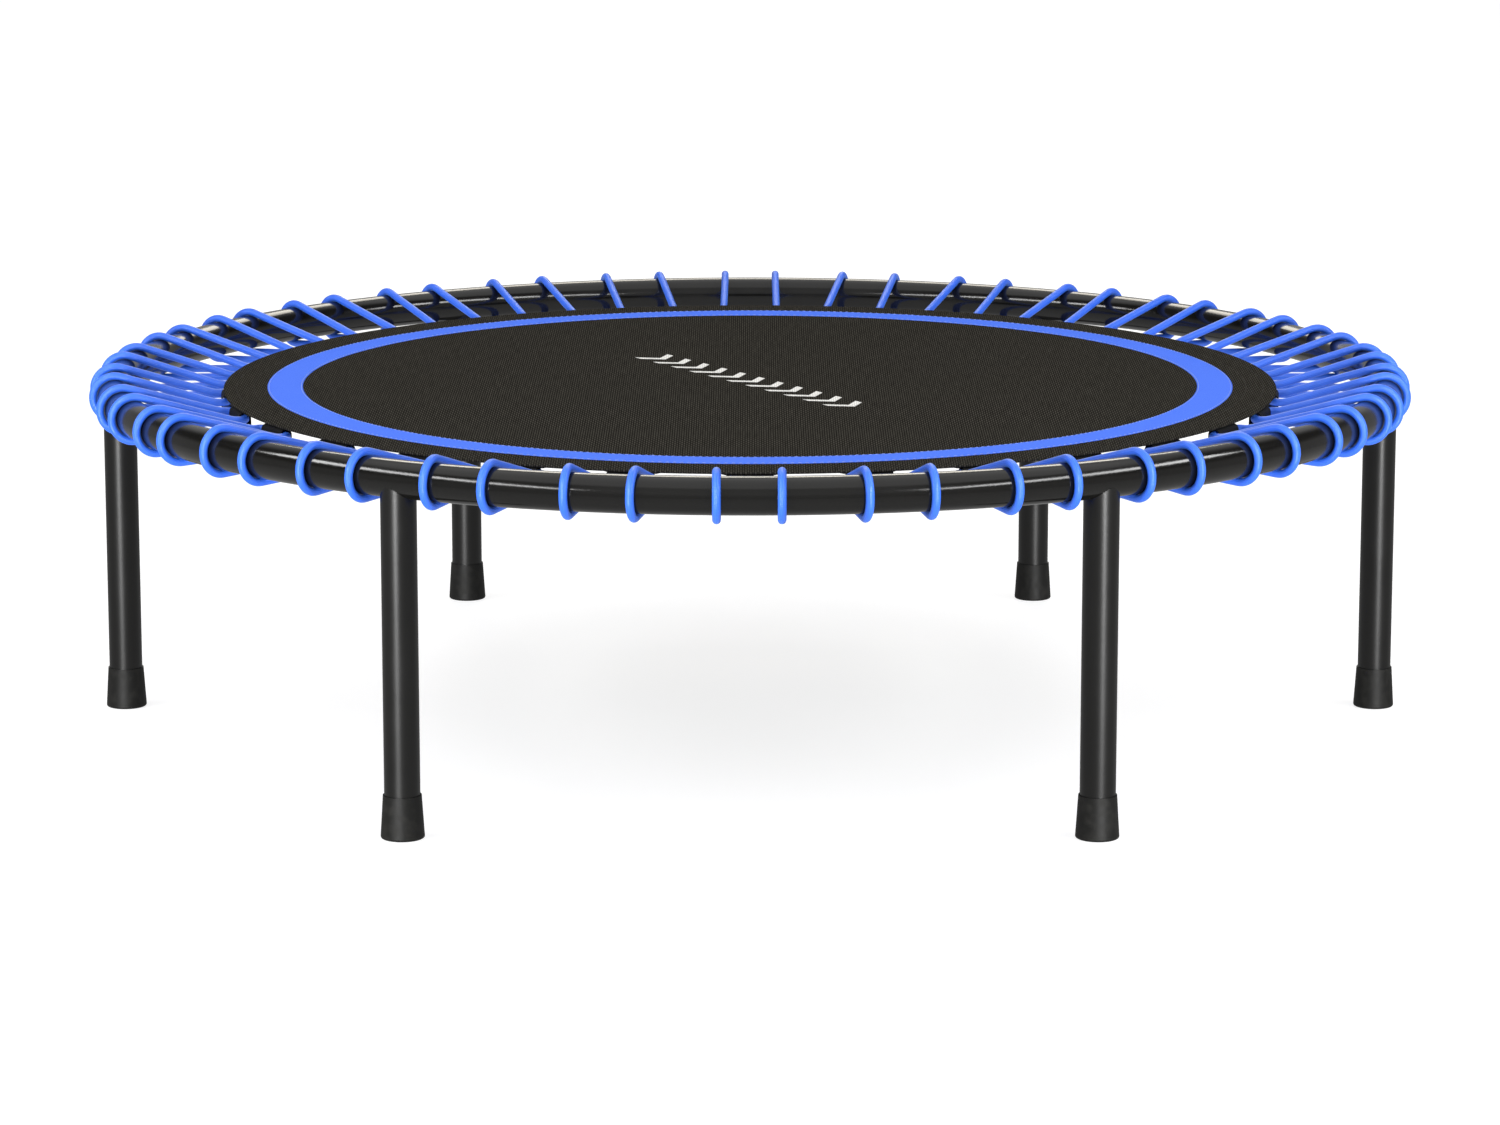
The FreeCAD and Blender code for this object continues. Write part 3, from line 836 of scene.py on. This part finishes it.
def glowing_white(name, grey, strength):
    """A matte material of an even grey that also glows white."""
    shader = Shader(name, (grey, grey, grey), 0.9, Specular_IOR_Level=0.0, Emission_Strength=strength)
    shader.surface.inputs["Emission Color"].default_value = (1, 1, 1, 1)
    return shader


def make_floor():
    """A white floor that glows a little, like the lit sweep of a product photograph."""
    half = 20
    corners = [(-half, -half, 0), (half, -half, 0), (half, half, 0), (-half, half, 0)]
    floor = link_mesh("floor", corners, [(0, 1, 2, 3)], smooth=False)
    shader = glowing_white("floor_paint", grey=0.4, strength=0.8)
    clouds = shader.noise(scale=3, detail=3.0)
    shader.colour(shader.blend(clouds, (0.395, 0.395, 0.395), (0.405, 0.405, 0.405)))
    floor.data.materials.append(shader.material)
    floor.visible_glossy = False


def make_backdrop():
    """A round white wall near the floor's edge, which only the camera sees."""
    radius, height, sides = 19.0, 16.0, 96
    points = [round_axis(radius, 2 * math.pi * j / sides, z) for z in (0.0, height) for j in range(sides)]
    wall = link_mesh("backdrop", points, grid_faces(2, sides, wrap_columns=True))
    wall.data.materials.append(glowing_white("backdrop_cloth", grey=0.0, strength=1.0).material)
    wall.visible_diffuse = False
    wall.visible_glossy = False
    wall.visible_transmission = False
    wall.visible_shadow = False


def area_light(name, place, target, size, power, colour=(1.0, 1.0, 1.0), only=None):
    """A soft box that the camera doesn't see, which may light only the objects given."""
    light = bpy.data.lights.new(name, "AREA")
    light.shape = "RECTANGLE"
    light.size, light.size_y = size
    light.energy = power
    light.color = colour
    lamp = bpy.data.objects.new(name, light)
    lamp.location = place
    lamp.rotation_euler = (Vector(target) - Vector(place)).to_track_quat("-Z", "Y").to_euler()
    lamp.visible_camera = False
    bpy.context.scene.collection.objects.link(lamp)
    if only:
        lit = bpy.data.collections.new(f"{name}_lit")
        for piece in only:
            lit.objects.link(piece)
        lamp.light_linking.receiver_collection = lit


# elevations in degrees with the room's brightness there: all round, in front and behind, at both sides
ROOM_LOW = ((-90, 0.42), (-50, 0.5), (-25, 0.46), (-8, 0.3))
ROOM_ENDS = ROOM_LOW + ((4, 0.35), (16, 0.52), (46, 0.48), (54, 0.95), (90, 0.95))
ROOM_SIDES = ROOM_LOW + ((14, 0.3), (24, 0.04), (48, 0.04), (56, 0.95), (90, 0.95))
# how far a direction points sideways where the side walls begin, and where they are whole
SIDES_BEGIN = 0.3
SIDES_WHOLE = 0.62


def elevation_ramp(nodes, links, height, stops):
    """A colour ramp over the sine of the elevation, whose value runs from 0 to 1."""
    ramp = nodes.new("ShaderNodeValToRGB")
    links.new(height, ramp.inputs[0])
    elements = ramp.color_ramp.elements
    while len(elements) < len(stops):
        elements.new(0.5)
    for element, (elevation, value) in zip(elements, stops):
        element.position = 0.5 + 0.5 * math.sin(math.radians(elevation))
        element.color = (value, value, value, 1)
    return ramp.outputs[0]


def make_world():
    """A room that is dim at the height of the horizon and lighter above and below, with dark side walls."""
    world = bpy.data.worlds.new("studio")
    bpy.context.scene.world = world
    world.use_nodes = True
    nodes, links = world.node_tree.nodes, world.node_tree.links
    place = nodes.new("ShaderNodeTexCoord").outputs["Generated"]
    split = nodes.new("ShaderNodeSeparateXYZ")
    links.new(place, split.inputs[0])
    height = nodes.new("ShaderNodeMath")
    height.operation = "MULTIPLY_ADD"
    links.new(split.outputs[2], height.inputs[0])
    height.inputs[1].default_value = 0.5
    height.inputs[2].default_value = 0.5
    sideways = nodes.new("ShaderNodeMath")
    sideways.operation = "ABSOLUTE"
    links.new(split.outputs[0], sideways.inputs[0])
    aside = nodes.new("ShaderNodeMapRange")
    aside.interpolation_type = "SMOOTHSTEP"
    links.new(sideways.outputs[0], aside.inputs["Value"])
    aside.inputs["From Min"].default_value = SIDES_BEGIN
    aside.inputs["From Max"].default_value = SIDES_WHOLE
    room = nodes.new("ShaderNodeMix")
    room.data_type = "RGBA"
    links.new(aside.outputs[0], room.inputs["Factor"])
    links.new(elevation_ramp(nodes, links, height.outputs[0], ROOM_ENDS), room.inputs[6])
    links.new(elevation_ramp(nodes, links, height.outputs[0], ROOM_SIDES), room.inputs[7])
    links.new(room.outputs[2], nodes["Background"].inputs["Color"])


def make_light():
    """A warm soft box behind, a long strip at each side, and a low light in front for each side's legs.

    Each low light lights only the legs, stubs, feet and loops of its own side.
    """
    make_world()
    bpy.context.scene.view_settings.view_transform = "Standard"
    area_light("rim", place=(0, 3.4, 2.4), target=(0, 0, 0.3), size=(2.0, 1.2), power=36,
               colour=(1.0, 0.94, 0.82))
    for side, legs in ((-1, (3, 4, 5)), (1, (6, 1, 2))):
        area_light(f"strip_{legs[0]}", place=(1.9 * side, -1.6, 1.6), target=(0, -1.6, 0.25),
                   size=(3.6, 0.3), power=44)
        parts = [f"{part}_{leg}" for leg in legs for part in ("leg_tube", "leg_stub", "rubber_foot")]
        lit = [frame["nodes"][part] for part in parts]
        for number, angle in enumerate(loop_angles(), start=1):
            if math.cos(angle) * side > 0:
                lit.append(bpy.data.objects[f"bungee_loop_{number:02d}"])
        area_light(f"low_light_{legs[0]}", place=(1.28 * side, -3.42, 0.36), target=(0.3 * side, 0, 0.12),
                   size=(0.8, 0.7), power=130, only=lit)


CAMERA_DISTANCE = 3.929
CAMERA_HEIGHT = 0.885
CAMERA_PITCH = 0.1939
CAMERA_LENS = 123.87
CAMERA_SENSOR = 36
CAMERA_REACH = 100


def make_camera():
    """The photograph's viewpoint."""
    camera = bpy.data.cameras.new("camera")
    camera.lens = CAMERA_LENS
    camera.sensor_width = CAMERA_SENSOR
    camera.clip_end = CAMERA_REACH
    holder = bpy.data.objects.new("camera", camera)
    holder.location = (0, -CAMERA_DISTANCE, CAMERA_HEIGHT)
    holder.rotation_euler = (math.pi / 2 - CAMERA_PITCH, 0, 0)
    bpy.context.scene.collection.objects.link(holder)
    bpy.context.scene.camera = holder


make_floor()
make_backdrop()
make_camera()
paint_cad_nodes()
make_loops()
make_light()
make_mat()
make_band()
make_stitches()
make_print()
make_hem()
for loop_number, loop_angle in enumerate(loop_angles(), start=1):
    make_sleeve(loop_number, loop_angle)
for leg_number in range(1, SECTORS + 1):
    make_stud(leg_number)
